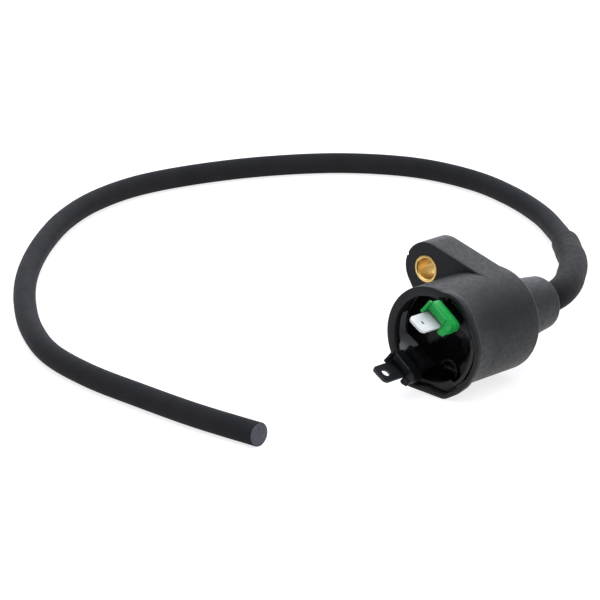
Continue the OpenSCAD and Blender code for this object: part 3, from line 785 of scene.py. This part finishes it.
def cut_face():
    """The lead's cut end: a slightly torn face around a fibrous core."""
    centre, side = lead_line[-1], end_dir.cross(Vector((0, 0, 1))).normalized()
    up = side.cross(end_dir)
    sides, points, faces = 64, [tuple(centre + end_dir * 0.03)], []
    radii = [0.25, 0.5, LEAD_CORE_R, 0.8, 1.0, 1.4, 1.8, 2.2, 2.6, 3.0, LEAD_R - CUT_EDGE]
    torn, torn_per_mm, groove, core_rings = 0.10, 1.3, -0.12, 3
    for r in radii:
        for k in range(sides):
            a = 2 * math.pi * k / sides
            x, y = r * math.cos(a), r * math.sin(a)
            rough = torn * noise.noise(Vector((x * torn_per_mm, y * torn_per_mm, 1.0)))
            dip = groove if r in (LEAD_CORE_R, 0.8) else 0.0
            edge = 0.0 if r == radii[-1] else 1.0
            points.append(tuple(centre + side * x + up * y + end_dir * (edge * (rough + dip) - 0.002)))
    faces += [(0, 1 + k, 1 + (k + 1) % sides) for k in range(sides)]
    for i in range(len(radii) - 1):
        a0, b0 = 1 + i * sides, 1 + (i + 1) * sides
        faces += [(a0 + k, b0 + k, b0 + (k + 1) % sides, a0 + (k + 1) % sides) for k in range(sides)]
    obj = piece("lead_cut_face", points, faces, cut_mat, 60)
    obj.data.materials.append(carbon_mat)
    for face in obj.data.polygons:
        if max(face.vertices) <= core_rings * sides:
            face.material_index = 1
    return obj


end_face = cut_face()


# ---------------------------------------------------------------- stage, light and camera

floor_mat = bpy.data.materials.new("white floor")
floor_tree, floor_shader = wires(floor_mat)
floor_tree.links.new(two_tone(floor_tree, grain(floor_tree, 0.002), shade(0.32), shade(0.33)),
                     floor_shader.inputs["Base Color"])
floor_shader.inputs["Roughness"].default_value = 0.8
floor_shader.inputs["Specular IOR Level"].default_value = 0.1
floor_shader.inputs["Emission Color"].default_value = (1, 1, 1, 1)
floor_shader.inputs["Emission Strength"].default_value = 0.78
floor_mesh = bpy.data.meshes.new("floor")
FLOOR_REACH = 4000
FLOOR_GAP = 0.05
floor_mesh.from_pydata([row((x * FLOOR_REACH, y * FLOOR_REACH, FLOOR_Z - FLOOR_GAP)) for x, y in
                        ((-1, -1), (1, -1), (1, 1), (-1, 1))], [], [(0, 1, 2, 3)])
floor = bpy.data.objects.new("floor", floor_mesh)
bpy.context.scene.collection.objects.link(floor)
floor.data.materials.append(floor_mat)


def studio_world(lobes):
    """A white surround of soft lobes, each a direction and the brightness at its middle."""
    world = bpy.data.worlds.new("studio")
    bpy.context.scene.world = world
    world.use_nodes = True
    tree = world.node_tree
    background = tree.nodes["Background"]
    background.inputs[0].default_value = (0.95, 0.975, 1.05, 1)
    coords = tree.nodes.new("ShaderNodeTexCoord")
    total = None
    for way, brightness in lobes:
        facing = tree.nodes.new("ShaderNodeVectorMath")
        facing.operation = "DOT_PRODUCT"
        facing.inputs[1].default_value = Vector(way).normalized()
        level = tree.nodes.new("ShaderNodeMapRange")
        level.interpolation_type = "SMOOTHSTEP"
        level.inputs["From Min"].default_value = 0.3
        level.inputs["From Max"].default_value = 1.0
        level.inputs["To Max"].default_value = brightness
        tree.links.new(coords.outputs["Generated"], facing.inputs[0])
        tree.links.new(facing.outputs["Value"], level.inputs["Value"])
        if total is None:
            total = level.outputs[0]
        else:
            add = tree.nodes.new("ShaderNodeMath")
            tree.links.new(total, add.inputs[0])
            tree.links.new(level.outputs[0], add.inputs[1])
            total = add.outputs[0]
    tree.links.new(total, background.inputs[1])


OVERHEAD, BEHIND, RIGHT = (0, 0, 1), (0, 1, 0.25), (1, 0, 0.25)
ABOVE_CAMERA, FAR_LEFT = (0.1, -0.6, 0.8), (-0.7, 0.7, 0.1)
studio_world([(OVERHEAD, 2.1), (BEHIND, 0.8), (RIGHT, 0.1), (ABOVE_CAMERA, 0.3), (FAR_LEFT, 1.3)])


def soft_light(name, place, aim, size, power):
    """A square area light at place, turned to aim, both in mm in the can's frame."""
    data = bpy.data.lights.new(name, "AREA")
    data.shape = "SQUARE"
    data.size = size * MM
    data.energy = power
    obj = bpy.data.objects.new(name, data)
    obj.location = row(place)
    obj.rotation_euler = (row(aim) - row(place)).to_track_quat("-Z", "Y").to_euler()
    bpy.context.scene.collection.objects.link(obj)


soft_light("top", (-150, 250, 900), (-60, 60, 0), 700, 0.5)

CAMERA_AT = (769.7, -962.8, 360.6)
CAMERA_ELEVATION = 15.8
CAMERA_AZIMUTH = 40.37
camera_data = bpy.data.cameras.new("camera")
camera_data.lens = 267
camera_data.sensor_width = 36
camera_data.clip_start = 0.01
camera_data.clip_end = 20
camera = bpy.data.objects.new("camera", camera_data)
camera.location = row(CAMERA_AT)
camera.rotation_euler = (math.radians(90 - CAMERA_ELEVATION), 0, math.radians(CAMERA_AZIMUTH))
bpy.context.scene.collection.objects.link(camera)
bpy.context.scene.camera = camera
bpy.context.scene.view_settings.view_transform = "Standard"
